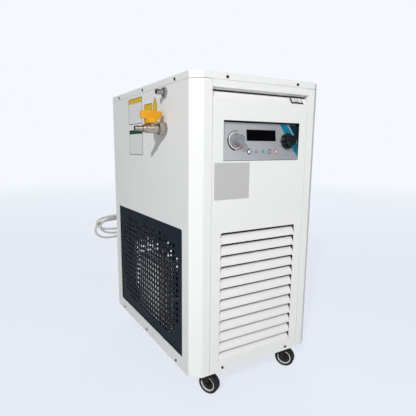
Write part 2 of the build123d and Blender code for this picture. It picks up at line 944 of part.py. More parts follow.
# Condenser behind the louvres: a block of fins between two end plates that stand on the tray.
condenser_half = condenser_width / 2
condenser_back = condenser_front + condenser_depth
condenser_middle_z = condenser_bottom + condenser_height / 2
with BuildPart() as condenser:
    with BuildSketch(Plane.XY.offset(condenser_bottom)):
        with Locations((0, condenser_front + condenser_depth / 2)):
            Rectangle(condenser_width, condenser_depth)
            with GridLocations(condenser_width / (fin_count + 1), condenser_depth - fin_cut, fin_count, 2):
                Rectangle(fin_gap, fin_cut, mode=Mode.SUBTRACT)
    extrude(amount=condenser_height)
with BuildPart() as condenser_plates:
    with BuildSketch(Plane.XY.offset(floor_top)):
        with GridLocations(condenser_width + end_plate, 0, 2, 1):
            with Locations((0, condenser_front + condenser_depth / 2)):
                Rectangle(end_plate, condenser_depth + 4)
    extrude(amount=condenser_bottom + condenser_height - floor_top)

# Fan: a shroud plate with a ring, two straps across the ring, the motor on them and the blades.
shroud_front = condenser_back + 2
shroud_plane = Plane(origin=(0, shroud_front, condenser_middle_z), x_dir=(1, 0, 0), z_dir=(0, 1, 0))
ring_radius = fan_radius + fan_clearance
with BuildPart() as fan_shroud:
    with BuildSketch(shroud_plane):
        Rectangle(condenser_width, condenser_height)
    extrude(amount=frame_wall)
    with BuildSketch(shroud_plane):
        Circle(ring_radius + frame_wall)
    extrude(amount=shroud_depth)
    with BuildSketch(shroud_plane):
        Circle(ring_radius)
    extrude(amount=shroud_depth, mode=Mode.SUBTRACT)
with BuildPart() as fan_straps:
    with BuildSketch(shroud_plane.offset(shroud_depth)):
        with GridLocations(strap_spacing, 0, 2, 1):
            Rectangle(strap_width, 2 * (ring_radius + frame_wall))
    extrude(amount=strap_thickness)
motor_plane = shroud_plane.offset(shroud_depth + strap_thickness)
with BuildPart() as fan_motor:
    with BuildSketch(motor_plane):
        Circle(motor_radius)
    extrude(amount=motor_length)
    fillet(fan_motor.edges().sort_by(Axis.Y)[-1], radius=6)
    with BuildSketch(motor_plane):
        Circle(motor_shaft_radius)
    extrude(amount=-strap_thickness - shroud_depth / 2 - fan_hub_length / 2 + 2)
fan_plane = shroud_plane.offset(shroud_depth / 2)


def fan_blade(turn):
    """One blade: a thin section at the hub, twisted flatter and wider towards the tip."""
    sections = []
    for reach, chord, pitch in blade_sections:
        place = Pos(*fan_plane.origin) * Rot(0, turn, 0) * Pos(reach, 0, 0) * Rot(0, 90, 0)
        sections.append(place * Rot(0, 0, pitch) * Rectangle(blade_thickness, chord))
    return loft(sections)


blade_sections = ((fan_hub_radius - 3, 24.0, 50.0), (fan_radius, 42.0, 68.0))
fan_blade_ring = [fan_blade(360 * i / fan_blade_count) for i in range(fan_blade_count)]
with BuildPart() as fan_blades:
    with BuildSketch(fan_plane):
        Circle(fan_hub_radius)
        Circle(motor_shaft_radius + shaft_clearance, mode=Mode.SUBTRACT)
    extrude(amount=fan_hub_length / 2, both=True)
    for blade in fan_blade_ring:
        add(blade)

# Compressor: a welded shell with a foot plate on four rubber grommets.
foot_top = floor_top + compressor_foot_height
compressor_plane = Plane.XY.offset(foot_top)
shell_low = foot_top + compressor_foot_plate
with BuildPart() as compressor:
    with BuildSketch(compressor_plane):
        with Locations((compressor_x, compressor_y)):
            RectangleRounded(compressor_foot_length, compressor_foot_width, 10)
    extrude(amount=compressor_foot_plate)
    with BuildSketch(Plane.XY.offset(shell_low)):
        with Locations((compressor_x, compressor_y)):
            Circle(compressor_radius)
    extrude(amount=compressor_height)
    fillet(compressor.edges().sort_by(Axis.Z)[-1], radius=compressor_dome)
with BuildPart() as compressor_feet:
    with BuildSketch(Plane.XY.offset(floor_top)):
        with Locations((compressor_x, compressor_y)):
            with GridLocations(compressor_foot_length - 28, compressor_foot_width - 28, 2, 2):
                Circle(11)
    extrude(amount=compressor_foot_height)

with BuildPart() as electric_box:
    with BuildSketch(Plane.XY.offset(floor_top)):
        with Locations(
            (
                electric_box_left + electric_box_width / 2,
                electric_box_front + electric_box_length / 2,
            )
        ):
            Rectangle(electric_box_width, electric_box_length)
    extrude(amount=electric_box_height)
    fillet(electric_box.edges().filter_by(Axis.Z), radius=2)

# Liquid tank on a shelf between the side panels, with a lid.
tank_middle_y = tank_front + tank_length / 2
with BuildPart() as tank_shelf:
    with BuildSketch(Plane.XZ.offset(-tank_front - tank_length)):
        add(
            bent_sheet(
                [
                    (-half_x + sheet, shelf_height + shelf_flange),
                    (-half_x + sheet, shelf_height),
                    (half_x - sheet, shelf_height),
                    (half_x - sheet, shelf_height + shelf_flange),
                ],
                side=Side.LEFT,
            )
        )
    extrude(amount=tank_length)
    with BuildSketch(Plane.XY.offset(shelf_height)):
        with Locations(suction_spot):
            Circle(pipe_radius + 1)
    extrude(amount=sheet, mode=Mode.SUBTRACT)
tank_bottom = shelf_height + sheet
tank_height = overall_height - tank_headroom - tank_bottom
with BuildPart() as liquid_tank:
    with BuildSketch(Plane.XY.offset(tank_bottom)):
        with Locations((0, tank_middle_y)):
            RectangleRounded(tank_width, tank_length, tank_corner)
    extrude(amount=tank_height - tank_lid_thickness)
with BuildPart() as tank_lid:
    with BuildSketch(Plane.XY.offset(tank_bottom + tank_height - tank_lid_thickness)):
        with Locations((0, tank_middle_y)):
            RectangleRounded(tank_width + 4, tank_length + 4, tank_corner + 2)
    extrude(amount=tank_lid_thickness)

# Circulation pump: motor and wet end on one axis along X, on a foot.
with BuildPart() as pump:
    pump_plane = Plane(origin=(pump_face_x, pump_y, pump_z), x_dir=(0, 1, 0), z_dir=(1, 0, 0))
    with BuildSketch(pump_plane):
        Circle(pump_wet_radius)
    extrude(amount=pump_wet_length)
    with BuildSketch(pump_plane.offset(pump_wet_length)):
        Circle(pump_motor_radius)
    extrude(amount=pump_motor_length)
    fillet(pump.edges().sort_by(Axis.X)[-1], radius=5)
    with BuildSketch(Plane.XY.offset(floor_top)):
        with Locations((pump_face_x + pump_wet_length + pump_motor_length / 2, pump_y)):
            Rectangle(pump_motor_length * 0.7, pump_motor_radius)
    extrude(until=Until.NEXT)


def pipe_run(points, radius, bend):
    """A pipe of straight runs and round bends."""
    with BuildPart() as pipe:
        with BuildLine() as route:
            if len(points) > 2:
                FilletPolyline(*points, radius=bend)
            else:
                Line(*points)
        with BuildSketch(Plane(origin=route.line @ 0, z_dir=route.line % 0)):
            Circle(radius)
        sweep()
    return pipe.part


inner_end = -half_x + stub_inside
suction_x, suction_y = suction_spot
return_z = stub_z - return_dip
outlet_x = pump_face_x + pump_wet_length / 2
coolant_pipes = Compound(
    children=[
        pipe_run(
            [
                (outlet_x, pump_y, pump_z + pump_wet_radius + seam / 2),
                (outlet_x, pump_y, delivery_z),
                (outlet_x, delivery_y, delivery_z),
                (delivery_x, delivery_y, delivery_z),
                (delivery_x, valve_y, delivery_z),
                (delivery_x, valve_y, valve_z),
                (inner_end + 0.3, valve_y, valve_z),
            ],
            pipe_radius,
            pipe_bend,
        ),
        pipe_run(
            [
                (inner_end + 0.3, stub_y, stub_z),
                (delivery_x, stub_y, stub_z),
                (delivery_x, stub_y, return_z),
                (delivery_x, tank_front - 0.3, return_z),
            ],
            pipe_radius,
            pipe_bend,
        ),
        pipe_run(
            [
                (suction_x, suction_y, tank_bottom - 0.3),
                (suction_x, suction_y, pump_z),
                (pump_face_x - 0.3, pump_y, pump_z),
            ],
            pipe_radius,
            pipe_bend,
        ),
    ]
)
compressor_top = shell_low + compressor_height
line_x, line_y = liquid_line_spot
step_x, step_y, step_z = liquid_line_step
step_bottom = liquid_z + liquid_line_rise
end_x = condenser_half + end_plate + 0.3
end_y = condenser_front + condenser_depth / 2
refrigerant_lines = Compound(
    children=[
        pipe_run(
            [
                (compressor_x + discharge_offset, compressor_y, compressor_top + 0.3),
                (compressor_x + discharge_offset, compressor_y, discharge_z),
                (end_x + discharge_reach, compressor_y, discharge_z),
                (end_x + discharge_reach, end_y, discharge_z),
                (end_x, end_y, discharge_z),
            ],
            line_radius,
            line_bend,
        ),
        pipe_run(
            [
                (-end_x, end_y, liquid_z),
                (line_x, end_y, liquid_z),
                (line_x, line_y, liquid_z),
                (line_x, line_y, step_bottom),
                (line_x + step_x, line_y + step_y, step_bottom + step_z),
                (line_x + step_x, line_y + step_y, shelf_height - 0.3),
            ],
            line_radius,
            line_bend,
        ),
        pipe_run(
            [
                (compressor_x - discharge_offset, compressor_y, compressor_top + 0.3),
                (compressor_x - discharge_offset, compressor_y, shelf_height - 0.3),
            ],
            line_radius + 1,
            line_bend,
        ),
    ]
)

# Mains cord: gland, plain tubes, hank, hook and plug behind the cabinet.
gland_plane = Plane(origin=(gland_x, half_y, gland_z), x_dir=(1, 0, 0), z_dir=(0, 1, 0))
with BuildPart() as cord_gland:
    with BuildSketch(gland_plane):
        RegularPolygon(gland_across / 2, 6, major_radius=False)
    extrude(amount=gland_length * 0.4)
    with BuildSketch(gland_plane.offset(gland_length * 0.4)):
        Circle(gland_across / 2 - 1)
    extrude(amount=gland_length * 0.6, taper=14)


def cord_tube(points):
    """A stretch of cord: straight runs and tangent arcs as large as the runs allow."""
    route = [Vector(*point) for point in points]
    radii = []
    for before, corner, after in zip(route, route[1:], route[2:]):
        turn = math.radians((corner - before).get_angle(after - corner))
        run = min((corner - before).length, (after - corner).length)
        radii.append(0.45 * run / math.tan(turn / 2))
    with BuildPart() as tube:
        with BuildLine() as line:
            FilletPolyline(*route, radius=radii)
        with BuildSketch(Plane(origin=line.line @ 0, z_dir=line.line % 0)):
            Circle(cord_diameter / 2)
        sweep()
    length = line.wire().length
    ideal = math.pi * (cord_diameter / 2) ** 2 * length
    print("cord length", round(length, 1), "radii", [round(radius, 1) for radius in radii])
    print("volume by section times length", round(tube.part.volume / ideal, 4))
    return tube.part


power_cord = cord_tube(lead_route)
plug_lead = cord_tube(tail_route)

# The hank: three turns of cord, drawn as one band hanging over its hook.
hank_plane = Plane(origin=(hank_x, hank_y, hank_z), x_dir=(-1, 0, 0), z_dir=(0, 1, 0))
with BuildPart() as cord_hank:
    with BuildSketch(hank_plane):
        SlotOverall(hank_length, hank_height)
        SlotOverall(hank_length - 2 * hank_band, hank_height - 2 * hank_band, mode=Mode.SUBTRACT)
    extrude(amount=hank_thickness / 2, both=True)

# Cord hook: a bent strap on the rear panel, under the upper band of the hank.
hook_top = hank_z + hank_height / 2 - hank_band
hook_end = hank_y + hank_thickness / 2
with BuildPart() as cord_hook:
    with BuildSketch(Plane.YZ.offset(hook_x - hook_width / 2)):
        add(
            bent_sheet(
                [
                    (half_y, hook_top - hook_drop),
                    (half_y, hook_top - 0.3),
                    (hook_end + 4, hook_top - 0.3),
                    (hook_end + 4, hook_top + hank_band),
                ],
                thickness=hook_thickness,
                side=Side.RIGHT,
            )
        )
    extrude(amount=hook_width)

# Plug: a moulded body with two round pins, hanging from its lead.
plug_top = Vector(*tail_route[-1])
with BuildPart() as plug:
    with BuildSketch(Plane.XY.offset(plug_top.Z)):
        with Locations((plug_top.X, plug_top.Y)):
            Circle(plug_neck_radius)
    extrude(amount=-plug_neck_length)
    with BuildSketch(Plane.XY.offset(plug_top.Z - plug_neck_length)):
        with Locations((plug_top.X, plug_top.Y)):
            RectangleRounded(plug_width, plug_depth, 6)
    extrude(amount=-plug_length)
    with BuildSketch(Plane.XY.offset(plug_top.Z - plug_neck_length - plug_length)):
        with Locations((plug_top.X, plug_top.Y)):
            with GridLocations(19.0, 0, 2, 1):
                Circle(2.4)
    extrude(amount=-19)

nodes = {
    "base_tray": base_tray.part,
    "top_frame": top_frame.part,
    "corner_posts": corner_posts.part,
    "top_cover": top_cover.part,
    "top_rail": top_rail.part,
    "front_panel": front_panel.part,
    "left_panel": left_panel.part,
    "right_panel": right_panel,
    "rear_panel": rear_panel.part,
    "side_grille": side_grille.part,
    "cover_screws": make_screws(cover_screw_planes),
    "panel_screws": make_screws(panel_screw_planes),
    "control_housing": control_housing.part,
    "control_plate": control_plate.part,
    "display_window": display_window.part,
    "indicator_lamps": indicator_lamps.part,
    "left_knob": left_knob,
    "right_knob": right_knob,
    "catch_frame": catch_frame.part,
    "catch_bolt": catch_bolt.part,
    "return_stub": return_stub,
    "side_nuts": side_nuts,
    "valve_body": valve_body.part,
    "outlet_barb": outlet_barb,
    "valve_stem": valve_stem.part,
    "valve_handle": valve_handle.part,
    "condenser": condenser.part,
    "condenser_plates": condenser_plates.part,
    "fan_shroud": fan_shroud.part,
    "fan_straps": fan_straps.part,
    "fan_motor": fan_motor.part,
    "fan_blades": fan_blades.part,
    "compressor": compressor.part,
    "compressor_feet": compressor_feet.part,
    "electric_box": electric_box.part,
    "tank_shelf": tank_shelf.part,
    "liquid_tank": liquid_tank.part,
    "tank_lid": tank_lid.part,
    "pump": pump.part,
    "coolant_pipes": coolant_pipes,
    "refrigerant_lines": refrigerant_lines,
    "cord_gland": cord_gland.part,
    "power_cord": power_cord,
    "plug_lead": plug_lead,
    "cord_hank": cord_hank.part,
    "cord_hook": cord_hook.part,
    "plug": plug.part,
}

caster_pieces = {
    "fork": caster_fork.part,
    "wheel": caster_wheel.part,
    "tyre": caster_tyre.part,
}
plates = []
for corner, angle in swivel_angles.items():
    x = -caster_x if corner.endswith("left") else caster_x
    y = -caster_y if corner.startswith("front") else caster_y
    plates.append(Pos(x, y, 0) * caster_plate.part)
    for piece, part in caster_pieces.items():
        nodes[f"{piece}_{corner}"] = Pos(x, y, 0) * Rot(0, 0, angle) * part
nodes["caster_plates"] = Compound(children=plates)

for name, part in nodes.items():
    part.label = name
    export_step(part, f"parts/{name}.step")
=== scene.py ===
import json
import math

import bpy
from mathutils import Matrix, Vector


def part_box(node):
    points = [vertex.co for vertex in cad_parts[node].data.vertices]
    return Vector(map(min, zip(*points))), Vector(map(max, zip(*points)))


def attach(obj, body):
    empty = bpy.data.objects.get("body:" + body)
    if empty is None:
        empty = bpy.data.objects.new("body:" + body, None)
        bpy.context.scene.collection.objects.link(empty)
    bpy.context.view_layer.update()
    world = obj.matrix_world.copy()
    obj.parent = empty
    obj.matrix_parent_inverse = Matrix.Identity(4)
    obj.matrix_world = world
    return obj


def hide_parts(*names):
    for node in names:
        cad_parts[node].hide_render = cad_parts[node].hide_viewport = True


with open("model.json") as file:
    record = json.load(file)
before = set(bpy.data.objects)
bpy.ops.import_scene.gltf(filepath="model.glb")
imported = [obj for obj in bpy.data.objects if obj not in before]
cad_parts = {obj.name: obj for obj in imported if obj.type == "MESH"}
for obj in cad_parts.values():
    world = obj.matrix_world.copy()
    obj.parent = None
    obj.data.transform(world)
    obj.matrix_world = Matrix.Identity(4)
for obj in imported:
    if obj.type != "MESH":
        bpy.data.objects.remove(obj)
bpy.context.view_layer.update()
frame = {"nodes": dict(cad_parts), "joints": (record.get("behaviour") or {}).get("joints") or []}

MM = 0.001
MICRON = 0.000001
nodes = frame["nodes"]
scene = bpy.context.scene
scene.view_settings.view_transform = "Standard"

# The camera, in millimetres and degrees. It stands left of the front and looks a little down.
CAMERA_PLACE = (-564, -939, 586)
CAMERA_TURN = 29.50
CAMERA_DOWN = 9.95
CAMERA_ROLL = 0.18
CAMERA_NEAR = 50
SENSOR = 36.0

# In pixels of the photograph: its side, the focal length and the point that the lens is aimed at.
PHOTO_SIDE = 416
FOCAL_PIXELS = 378.2
PICTURE_CENTRE = (192.3, 214.4)

# Mains cord, in millimetres: a lead from the gland, turns over the hook, and a tail to the plug.
CORD_WIDTH = 7.0
CORD_LEAD = (
    (50, 276.5, 420), (50, 314, 420), (24, 340, 404), (-10, 334, 382), (-40, 306, 366), (-66, 292, 356),
)
CORD_TAIL = (
    (-80, 290, 297), (-50, 292, 292), (-26, 294, 268), (-22, 294, 234), (-22, 294, 204),
)

# Each turn's left, right, top and bottom, its place towards the rear, its first step and its end.
CORD_TURNS = (
    (-236, 0, 362, 314, 284, 1, 14),
    (-222, -6, 354, 298, 290.5, 0, 14),
    (-238, -2, 348, 280, 297, 0, 8),
)
TURN_STEPS = 14
TURN_START = 70
TURN_PITCH = 3

# An exponent below 1, which keeps a turn full towards its left and right ends.
TURN_FULLNESS = 0.45

# The outer faces that labels lie on, in millimetres.
LEFT_FACE = -180.0
FRONT_FACE = -262.5

# The sloping control plate: y and z of its lower edge, its height, and how far back its top leans.
PLATE_FOOT = (-262.2, 559.6)
PLATE_RISE = 81.4
PLATE_LEAN = 8.5

# The five lamps' colours from left to right: white, grey, blue green, grey and pink.
LAMP_COLOURS = (
    (0.85, 0.85, 0.85), (0.3, 0.31, 0.32), (0.02, 0.33, 0.42), (0.4, 0.41, 0.43), (0.75, 0.6, 0.6),
)

# Places on the plate, in millimetres from its middle and up its slope.
KNOB_UP = 43.0
LEFT_KNOB = (-71.0, KNOB_UP)
RIGHT_KNOB = (75.6, KNOB_UP)
LAMP_UP = 19.0
LAMP_START = -35.5
LAMP_PITCH = 19.6
LAMP_X = [LAMP_START + LAMP_PITCH * i for i in range(len(LAMP_COLOURS))]

# Coloured fields at the right end of the plate, as places on it.
TEAL_STRIPE = ((56.5, 81.3), (109.8, 4.0), (109.8, 39.0), (78.5, 81.3))
DEEP_TEAL_FIELD = ((109.8, 44), (109.8, 81.3), (84, 81.3))

# The right knob's skirt: each ring's radius, its share of the scallops, and its height off the plate.
# The exponent below 1 makes the scallops broad.
SCALLOPS = 9
SCALLOP_DEPTH = 2.6
SCALLOP_BREADTH = 0.7
SKIRT_SIDES = 144
SKIRT_INNER = 12.6
SKIRT_RINGS = (
    (SKIRT_INNER, 0.0, 0.7), (18.2, 1.0, 0.7), (18.8, 1.0, 1.6), (18.4, 1.0, 6.6), (17.2, 1.0, 7.8),
    (SKIRT_INNER, 0.0, 8.4),
)

# The hub under the valve's lever: its place on the valve's axis, and each ring's radius and height.
HUB_PLACE = (-214.0, -131.0, 640.8)
HUB_SIDES = 64
HUB_INNER = 11.6
HUB_RINGS = ((HUB_INNER, 0.6), (14.4, 0.6), (15.0, 1.2), (15.0, 10.8), (14.2, 11.6), (HUB_INNER, 11.6))

# The steps round a full ring or an arc.
RING_STEPS = 40

# Thicknesses of film and ink, in millimetres.
EDGE_FILM = 0.10
LABEL_FILM = 0.16
FRONT_FILM = 0.15
FIELD_INK = 0.08
DIAL_INK = 0.10
MARK_INK = 0.12

# Labels, in millimetres: the dark rim, the gap under a header, and how round the corners are.
LABEL_RIM = 1.5
HEADER_GAP = 0.6
EDGE_ROUND = 4
LABEL_ROUND = 3
HEADER_ROUND = 2.5
FRONT_ROUND = 1.5

# The arrow label's outline, towards the front and up, and how its yellow part shrinks to the middle.
ARROW = ((64, 660), (88, 660), (88, 688), (86, 692), (77, 706), (75, 706), (66, 692), (64, 688))
ARROW_MIDDLE = (76, 683)
ARROW_SHRINK = (0.88, 0.93)

# Colours that several finishes share.
WHITE = (0.83, 0.83, 0.81)
BLACK = (0.012, 0.012, 0.013)
WHEEL_BLACK = (0.012, 0.012, 0.012)
WHEEL_WHITE = (0.72, 0.72, 0.7)

# Where the inside of the outer sheets begins, in metres, and the painted shade that darkens it.
INSIDE_X = 0.1787
INSIDE_FRONT = -0.2515
INSIDE_REAR = 0.2612
INSIDE_TOP = 0.68
INSIDE_PAINTED_SHADE = (0.05, 0.05, 0.052)

# More edges within finishes, in metres: the heights between which dust fades out, the radius at
# which the white rim of a wheel begins, and the width of the catch's black rim along X and along Y.
DUST_HEIGHTS = (0.07, 0.3)
RIM_INNER = 0.0155
CATCH_RIM = (0.002, 0.0018)

# Painted shade on the control plate: it darkens to the right and upwards, along x and this share of z,
# added, over this stretch in metres.
PLATE_PAINTED_SHADE_RISE = 0.6
PLATE_PAINTED_SHADE = (0.24, 0.5)

# The Mix node's sockets for a factor and two colours, and its output for a colour.
MIX_FACTOR, MIX_LOW, MIX_HIGH, MIX_COLOUR = 0, 6, 7, 2

# The studio, in metres: how the floor and the room are painted, lit and seen.
FLOOR_REACH = 40.0
FLOOR_FADE = (0.7, 6.0)
FLOOR_PAINT = (0.8, 0.83, 0.88)
FLOOR_PATCH = (0.78, 0.81, 0.86)
FLOOR_SEEN = (0.85, 0.89, 0.97)
FLOOR_GLOW = 0.8
ROOM_PAINT = (0.96, 0.97, 1.0)
ROOM_LIGHT = 0.24
ROOM_SEEN = (0.91, 0.94, 1.0)


def metres(*point):
    """A point given in millimetres, in metres."""
    return Vector(point) * MM


# Materials


class Wire:
    """A value in a material's tree. Python arithmetic on it adds Math nodes."""

    def __init__(self, finish, socket):
        self.finish = finish
        self.socket = socket

    def maths(self, operation, *values):
        return self.finish.node("Math", {"operation": operation}, dict(enumerate(values)))

    def __add__(self, other):
        return self.maths("ADD", self, other)

    def __radd__(self, other):
        return self.maths("ADD", other, self)

    def __sub__(self, other):
        return self.maths("SUBTRACT", self, other)

    def __rsub__(self, other):
        return self.maths("SUBTRACT", other, self)

    def __mul__(self, other):
        return self.maths("MULTIPLY", self, other)

    def __rmul__(self, other):
        return self.maths("MULTIPLY", other, self)

    def __abs__(self):
        return self.maths("ABSOLUTE", self)

    def over(self, edge):
        """1 where the value is above the edge, and 0 elsewhere."""
        return self.maths("GREATER_THAN", self, edge)

    def ramp(self, low, high):
        """0 at low and below, 1 at high and above, and even between them."""
        return self.finish.node("MapRange", {}, {"Value": self, "From Min": low, "From Max": high})


class Finish:
    """A material in the making: the shader's own values, and one way to add any other node."""

    def __init__(self, name, colour, roughness, **values):
        self.material = bpy.data.materials.new(name)
        self.material.use_nodes = True
        self.tree = self.material.node_tree
        self.shader = self.tree.nodes["Principled BSDF"]
        self.shade(Base_Color=colour, Roughness=roughness, **values)
        self.position = self.node("TexCoord", output="Object")
        axes = self.node("SeparateXYZ", values={"Vector": self.position}).socket.node
        self.x, self.y, self.z = (Wire(self, socket) for socket in axes.outputs)

    def give(self, node, values):
        """Link or set a node's sockets. A colour of three parts gets a fourth, full one."""
        for key, value in values.items():
            socket = node.inputs[key]
            if isinstance(value, Wire):
                self.tree.links.new(value.socket, socket)
            elif isinstance(value, tuple) and len(value) == 3 and len(socket.default_value) == 4:
                socket.default_value = (*value, 1.0)
            else:
                socket.default_value = value

    def node(self, kind, settings=None, values=None, output=0):
        """Any node, from its type, its settings, its sockets' values or links, and the output to use."""
        made = self.tree.nodes.new("ShaderNode" + kind)
        for key, value in (settings or {}).items():
            setattr(made, key, value)
        self.give(made, values or {})
        return Wire(self, made.outputs[output])

    def shade(self, **values):
        """Link or set the shader's own sockets, with underscores for the spaces in their names."""
        self.give(self.shader, {key.replace("_", " "): value for key, value in values.items()})

    def stretched(self, x, y, z):
        """The position, scaled along each axis, so that a pattern runs longer one way."""
        return self.node("VectorMath", {"operation": "MULTIPLY"}, {0: self.position, 1: (x, y, z)})

    def noise(self, scale, detail=2.0, where=None):
        sockets = {"Vector": where or self.position, "Scale": scale, "Detail": detail}
        return self.node("TexNoise", values=sockets)

    def mix(self, factor, low, high):
        """Colour low where the factor is 0, and high where it is 1."""
        sockets = {MIX_FACTOR: factor, MIX_LOW: low, MIX_HIGH: high}
        return self.node("Mix", {"data_type": "RGBA"}, sockets, MIX_COLOUR)

    def relief(self, height, depth):
        """The height, from 0 to 1, as bumps of that depth in thousandths of a millimetre."""
        bump = self.node("Bump", values={"Height": height, "Distance": depth * MICRON}, output="Normal")
        self.shade(Normal=bump)


def darker(colour, share):
    return tuple(share * part for part in colour)


def painted(name, colour, roughness=0.42, dust=0.0, gloss=0.5, painted_shade_inside=False):
    """Powder coat: a faint orange peel, a little unevenness and some dust low down."""
    finish = Finish(name, colour, roughness, Specular_IOR_Level=gloss)
    patch = finish.noise(scale=9.0, detail=3.0)
    peel = finish.noise(scale=650.0, detail=1.0)
    low_down = 1 - finish.z.ramp(*DUST_HEIGHTS)
    coat = finish.mix(patch * 0.5 + dust * low_down, colour, darker(colour, share=0.94))
    # Painted shade: the inner faces of the outer sheets are darkened nearly to black.
    if painted_shade_inside:
        inside = (
            (1 - abs(finish.x).over(INSIDE_X)) * finish.y.over(INSIDE_FRONT)
            * (1 - finish.y.over(INSIDE_REAR)) * (1 - finish.z.over(INSIDE_TOP))
        )
        coat = finish.mix(inside, coat, INSIDE_PAINTED_SHADE)
    finish.shade(Base_Color=coat, Roughness=roughness + 0.08 * patch - 0.04)
    finish.relief(peel, depth=60)
    return finish.material


def galvanised(name):
    """Zinc coated sheet with its frosty crystals."""
    finish = Finish(name, (0.6, 0.61, 0.62), 0.45, Metallic=0.85)
    crystal = finish.node("TexVoronoi", values={"Vector": finish.position, "Scale": 90.0}, output="Color")
    grain = finish.node("SeparateXYZ", values={"Vector": crystal})
    finish.shade(
        Base_Color=finish.mix(grain, (0.5, 0.51, 0.52), (0.68, 0.69, 0.7)),
        Roughness=0.36 + 0.2 * grain,
    )
    finish.relief(finish.noise(scale=220.0), depth=40)
    return finish.material


def plated(name, colour, roughness, stain=0.1):
    """Bright metal with fine handling marks."""
    finish = Finish(name, colour, roughness, Metallic=1.0)
    smear = finish.noise(scale=120.0, detail=4.0)
    scratch = finish.noise(scale=900.0, detail=1.0, where=finish.stretched(0.2, 1.0, 1.0))
    finish.shade(
        Base_Color=finish.mix(smear.ramp(0.45, 0.75), colour, darker(colour, share=0.7)),
        Roughness=roughness + stain * smear.ramp(0.4, 0.7),
    )
    finish.relief(scratch, depth=20)
    return finish.material


def moulded(name, colour, roughness, grain=500.0, depth=50, worn=None, gloss=0.3, **values):
    """Plastic or rubber with a fine moulded grain and slightly uneven gloss."""
    finish = Finish(name, colour, roughness, Specular_IOR_Level=gloss, **values)
    patch = finish.noise(scale=60.0, detail=3.0)
    finish.shade(
        Base_Color=finish.mix(patch.ramp(0.4, 0.8), colour, worn or darker(colour, share=0.8)),
        Roughness=roughness + 0.1 * patch - 0.05,
    )
    finish.relief(finish.noise(grain), depth)
    return finish.material


def brushed_plate(name):
    """Silver film with a fine grain along its length, and painted shade that darkens it to the right and
    upwards.
    """
    finish = Finish(name, (0.5, 0.51, 0.53), 0.4, Metallic=0.3)
    grain = finish.noise(scale=1500.0, where=finish.stretched(0.02, 1.0, 1.0))
    # Painted shade: darker to the right and upwards.
    plate_painted_shade = (finish.x + PLATE_PAINTED_SHADE_RISE * finish.z).ramp(*PLATE_PAINTED_SHADE)
    finish.shade(
        Base_Color=finish.mix(0.4 * grain + 0.6 * plate_painted_shade, (0.58, 0.595, 0.62), (0.28, 0.29, 0.305)),
        Roughness=0.34 + 0.14 * grain,
    )
    finish.relief(grain, depth=10)
    return finish.material


def wheel_finish(corner):
    """A caster wheel: its raised rim is white, and its recessed web and its hub are black."""
    finish = Finish("wheel_" + corner, WHEEL_BLACK, 0.4, Specular_IOR_Level=0.4)
    low, high = (Vector(edge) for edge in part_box("tyre_" + corner))
    centre = (low + high) / 2
    axle = next(Vector(joint["axis"]) for joint in frame["joints"] if joint["name"] == "roll_" + corner)
    arm = finish.node("VectorMath", {"operation": "SUBTRACT"}, {0: finish.position, 1: tuple(centre)})
    along = finish.node("VectorMath", {"operation": "DOT_PRODUCT"}, {0: arm, 1: tuple(axle)}, "Value")
    reach = finish.node("VectorMath", {"operation": "LENGTH"}, {0: arm}, "Value")
    radius_squared = reach * reach - along * along
    rim = radius_squared.over(RIM_INNER**2)
    scuff = finish.noise(scale=150.0, detail=3.0)
    finish.shade(
        Base_Color=finish.mix(rim, WHEEL_BLACK, WHEEL_WHITE),
        Roughness=0.34 + 0.2 * scuff,
    )
    finish.relief(scuff, depth=30)
    return finish.material


def lamp_colours():
    """One finish for all the lamps. Its colour changes halfway from each lamp to the next."""
    finish = Finish("lamp_colours", (0.7, 0.7, 0.7), 0.3, Coat_Weight=0.4)
    colour = LAMP_COLOURS[0]
    for left, right, next_colour in zip(LAMP_X, LAMP_X[1:], LAMP_COLOURS[1:]):
        colour = finish.mix(finish.x.over((left + right) / 2 * MM), colour, next_colour)
    finish.shade(Base_Color=colour)
    return finish.material


def catch_finish():
    """The catch's frame is black round its edge, with a bright face plate."""
    finish = Finish("catch_finish", BLACK, 0.35)
    low, high = (Vector(edge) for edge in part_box("catch_frame"))
    middle = (low + high) / 2
    reach = (high - low) / 2
    plate = (
        (1 - abs(finish.x - middle.x).over(reach.x - CATCH_RIM[0]))
        * (1 - abs(finish.y - middle.y).over(reach.y - CATCH_RIM[1]))
    )
    finish.shade(
        Base_Color=finish.mix(plate, BLACK, (0.78, 0.78, 0.78)),
        Roughness=0.35 + 0.1 * finish.noise(scale=300.0),
    )
    return finish.material


def printed(name, colour, roughness=0.45, **values):
    """Ink or film laid on a surface."""
    finish = Finish(name, colour, roughness, **values)
    spot = finish.noise(scale=1200.0, detail=1.0)
    finish.shade(Base_Color=finish.mix(spot * 0.5, colour, darker(colour, share=0.9)))
    finish.relief(spot, depth=5)
    return finish.material


white_coat = painted("white_coat", WHITE, 0.55, dust=0.25, gloss=0.25)
sheet_coat = painted("sheet_coat", WHITE, 0.55, dust=0.25, gloss=0.25, painted_shade_inside=True)
grille_coat = painted("grille_coat", (0.007, 0.014, 0.024), 0.5, gloss=0.12)
zinc = galvanised("zinc")
black_coat = painted("black_coat", BLACK, 0.4, gloss=0.3)
black_screw = plated("black_screw", (0.06, 0.06, 0.065), 0.35)
chrome = plated("chrome", (0.42, 0.42, 0.43), 0.14)
bright_steel = moulded("bright_steel", (0.8, 0.8, 0.8), 0.3, gloss=0.5, Metallic=0.3)
nickel = plated("nickel", (0.52, 0.47, 0.40), 0.24, stain=0.2)
copper = plated("copper", (0.68, 0.33, 0.17), 0.3, stain=0.25)
